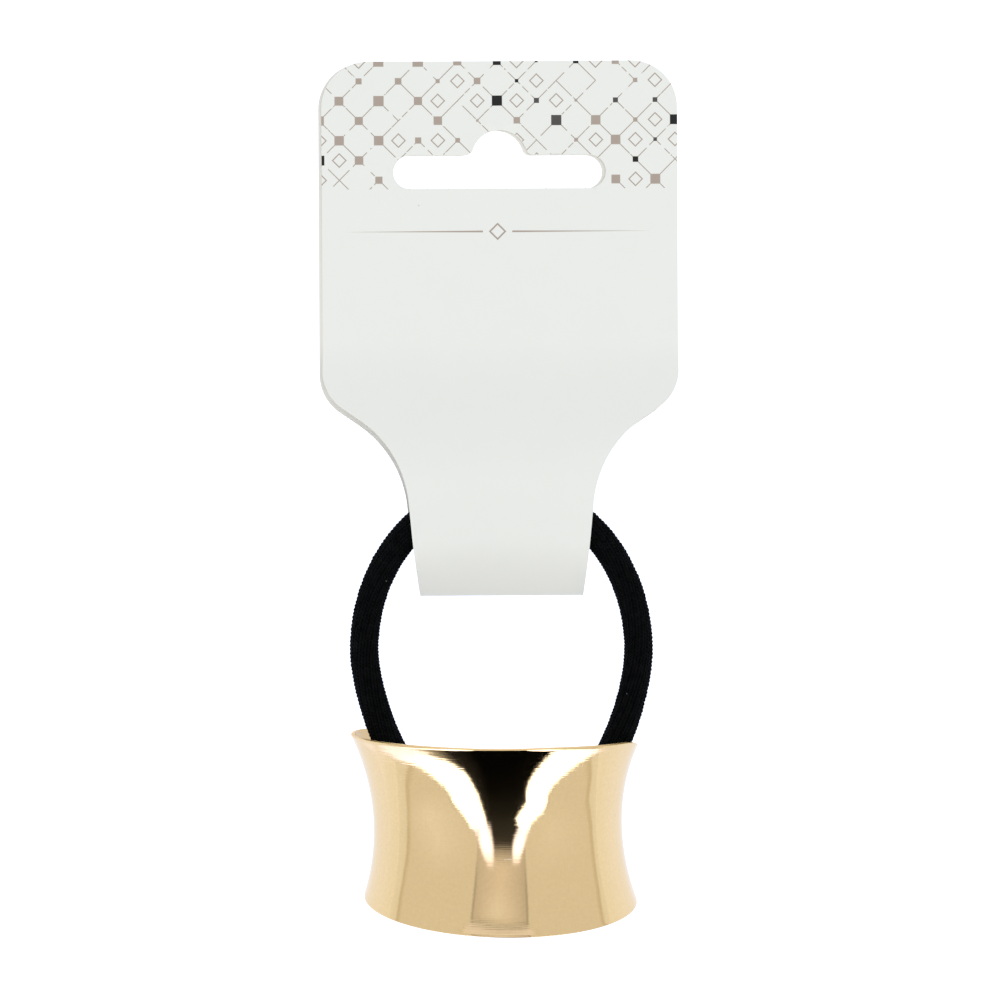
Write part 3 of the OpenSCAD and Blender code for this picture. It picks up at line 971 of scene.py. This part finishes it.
flap_cloth = lit_cloth(
    "flap_cloth",
    [
        (0, 0.60, 0), (0.04, 0.60, 0.8), (0.09, 1.1, 1), (0.16, 3.6, 1), (0.92, 3.6, 1), (0.965, 1.2, 1),
        (1, 0.35, 0),
    ],
    (0.95, 0.97, 1.10),
    0.22,
    (0.72, 0.74, 1.50),
)
flap_left = [
    ((359, 745), (368, 734), 0), ((367.5, 749), (383, 736), 0.11), ((376, 752.5), (397, 740), 0.22),
    ((386, 757), (410, 746), 0.34), ((398, 762.5), (423, 752), 0.52), ((410, 766), (434, 757), 0.78),
    ((421.5, 772), (446.5, 761), 1), ((430.5, 779.5), (457, 766.5), 1), ((440.5, 788), (467, 774), 1),
    ((447, 797), (474, 786), 1), ((448, 801), (478, 794), 1), ((455, 810), (482, 806), 1),
    ((464, 821), (486, 819), 1), ((465.5, 825), (487, 826), 0.8), ((472, 832), (489, 832), 0.35),
    ((475, 838), (490, 838), 0),
]
hang_between("flap_left", flap_left, flap_cloth, 0.05)
flap_right = [
    ((620, 744), (572, 737), 0.05), ((614, 748.5), (560, 744), 0.30), ((603, 752.5), (551.5, 751.5), 0.62),
    ((592, 758), (546, 757), 1), ((576, 769), (537, 767), 1), ((564, 779), (531, 776), 1),
    ((556, 785.5), (527.5, 782), 1), ((549.5, 796), (524.5, 792.5), 1), ((549, 805), (525, 803), 1),
    ((543, 815.5), (520, 811), 1), ((532.5, 824.5), (513, 820.5), 1), ((531, 829), (518.5, 827), 0.8),
    ((529, 836), (514.5, 834), 0),
]
hang_between("flap_right", flap_right, flap_cloth, 0.05)

hem_cloth = lit_cloth(
    "hem_cloth",
    [(0, 0.9, 0), (0.12, 1.8, 0.8), (0.3, 2.8, 1), (0.7, 2.9, 1), (0.88, 1.8, 0.8), (1, 0.9, 0)],
    (0.92, 0.90, 1.22),
    0.12,
)
hem_left = [
    ((476, 824), (490, 822), 0), ((475.5, 832), (492, 831), 0.75), ((476, 841), (493.5, 841), 1),
    ((478.5, 850), (494.5, 849), 0.9), ((481.5, 858), (494.5, 857), 0.6), ((485, 864), (494, 864), 0.3),
    ((486, 869), (494, 869), 0),
]
hang_between("hem_left", hem_left, hem_cloth, 0.06)
hem_right = [
    ((530, 824), (516, 827), 0), ((529, 832), (514, 834), 0.75), ((526.5, 842), (511.5, 842), 1),
    ((524, 850), (510.5, 850), 0.95), ((521.5, 858), (510.5, 858), 0.6), ((519, 866), (511, 866), 0),
]
hang_between("hem_right", hem_right, hem_cloth, 0.06)

roof_cloth = lit_cloth(
    "roof_cloth",
    [
        (0, 0.66, 1), (0.10, 0.70, 1), (0.30, 0.78, 1), (0.5, 0.83, 1), (0.72, 0.76, 1), (0.9, 0.67, 1),
        (1, 0.62, 1),
    ],
    (1.03, 0.99, 1.0),
)
roof = [
    ((477.5, 832), (524.5, 832), 0.9), ((476, 860), (525, 860), 1), ((475.5, 874), (525.1, 877), 1),
    ((474.5, 887), (525.8, 891), 1), ((473, 901), (526.6, 905), 1), ((471.8, 913), (526.8, 915), 0.9),
    ((470.5, 922), (527, 926), 0.75),
]
hang_between("roof", roof, roof_cloth, 0.01)
back_wall = lit_cloth("back_wall", [(0, 0.82, 1), (0.4, 0.88, 1), (1, 1.02, 1)], (1.0, 0.99, 1.08))
foot = [
    ((470.5, 921.5), (460.5, 932.5), 1), ((478, 922.5), (470, 938), 1), ((488, 926), (484, 942), 1),
    ((499, 927.5), (499, 943), 1), ((509, 928), (514, 942), 1), ((520, 927), (527, 939), 1),
    ((527, 925.5), (536, 935), 1),
]
hang_between("back_wall", foot, back_wall, 0.015)

shade = lit_cloth("seam_shade", [(0, 0.44, 0), (0.5, 0.44, 1), (1, 0.44, 0)])
faint_shade = lit_cloth("faint_seam_shade", [(0, 0.68, 0), (0.5, 0.68, 1), (1, 0.68, 0)], (1.04, 1.0, 0.88))
roof_seam_w, foot_seam_w, back_seam_w = 3.4, 6.4, 2.2
roof_seam_covers = [0, 0.7, 1, 1, 1, 1]
sew("seam_roof_left", [a for a, _, _ in roof[1:]], roof_seam_w, shade, 0.02, roof_seam_covers)
sew("seam_roof_right", [b for _, b, _ in roof[1:]], roof_seam_w, shade, 0.02, roof_seam_covers)
sew("seam_roof_back", [a for a, _, _ in foot], foot_seam_w, shade, 0.022)
back_left = [(470.5, 921), (461, 931), (452, 941)]
back_right = [(527, 925.5), (535, 933), (543, 941)]
sew("seam_back_left", back_left, back_seam_w, faint_shade, 0.022)
sew("seam_back_right", back_right, back_seam_w, faint_shade, 0.022)

wall_glow = lit_cloth("wall_glow", [(0, 0.98, 0), (0.4, 0.98, 1), (1, 0.94, 0)], (0.98, 1.0, 1.05))
glow_left = [
    ((405, 796), (455, 786), 0), ((404, 818), (468, 812), 1), ((410, 845), (476, 838), 0.8),
    ((418, 880), (478, 872), 0),
]
hang_between("glow_left", glow_left, wall_glow, 0.012)
glow_right = [((535, 800), (588, 790), 0), ((525, 835), (588, 830), 0.5), ((520, 880), (590, 870), 0)]
hang_between("glow_right", glow_right, wall_glow, 0.012)
glow_roof = [((478, 888), (522, 888), 0), ((478, 906), (522, 908), 0.6), ((478, 918), (522, 920), 0.75)]
hang_between("glow_roof", glow_roof, wall_glow, 0.018)

left_hem = [
    (411, 764), (407.5, 776), (406.3, 786), (407.8, 810), (408, 830), (406.8, 856), (404.3, 871),
    (402.2, 885), (399.8, 896), (397.3, 915), (395.5, 926),
]
right_hem = [
    (588.3, 757), (589.9, 778), (587, 802), (589.1, 814), (590.6, 826), (592.8, 852), (595, 870),
    (597.9, 889), (600.9, 911), (604.5, 928),
]

# Where the cuff doesn't show the skirt's hem, it runs on round the tent, at turns and rises in degrees
back_turns, back_up = range(-60, 61, 20), 6
front_turns, front_up = (145, 165, 180, 195, 215), 8
skirt_steps, skirt_foot = 4, -0.02
seam_up, seam_down, seam_nearer = 0.042, 0.6, 0.99


def low_on_tent(azimuth, elevation):
    """A point of the tent's wall, by its turn and its rise in degrees."""
    a, e = math.radians(azimuth), math.radians(elevation)
    return tent_middle + Vector((math.sin(a) * math.cos(e), math.cos(a) * math.cos(e), math.sin(e))) * tent_r


hem = [on_tent(*p) for p in left_hem] + [low_on_tent(a, back_up) for a in back_turns]
hem += [on_tent(*p) for p in reversed(right_hem)] + [low_on_tent(a, front_up) for a in front_turns]
hem.append(hem[0])
finer = [
    first.lerp(second, i / skirt_steps) for first, second in zip(hem, hem[1:]) for i in range(skirt_steps)
] + hem[-1:]
skirt = lit_cloth("skirt_cloth", [(0, 0.985, 1), (1, 0.92, 1)], (0.98, 1.01, 1.05))
hang("skirt", [[Vector((p.x, p.y, skirt_foot)), p] for p in finer], skirt)
seam_line = [p * seam_nearer for p in finer]
upwards = Vector((0, 0, seam_up))
hang("seam_skirt", [[p - upwards * seam_down, p, p + upwards] for p in seam_line], faint_shade)

front_fill, side_fill = 0.42, 0.93
wall_white, mirrored_white = (1.0, 1.0, 1.0, 1), (0.84, 0.84, 0.84, 1)
world = bpy.data.worlds.new("tent_walls")
scene.world = world
world.use_nodes = True
tree = world.node_tree
tree.nodes.clear()
paths = add(tree, "ShaderNodeLightPath").outputs
walls = mix_colour(tree, paths["Is Glossy Ray"], wall_white, mirrored_white)
way = add(tree, "ShaderNodeTexCoord").outputs["Generated"]
from_front = calc(tree, "MULTIPLY", add(tree, "ShaderNodeSeparateXYZ", {"Vector": way}).outputs["Y"], -1.0)
fill = calc(tree, "MULTIPLY_ADD", calc(tree, "MAXIMUM", from_front, 0.0), front_fill, side_fill)
strength = mix_colour(tree, paths["Is Diffuse Ray"], (1.0, 1.0, 1.0, 1), fill)
back = add(tree, "ShaderNodeBackground", {"Color": walls, "Strength": strength})
add(tree, "ShaderNodeOutputWorld", {"Surface": back.outputs[0]})
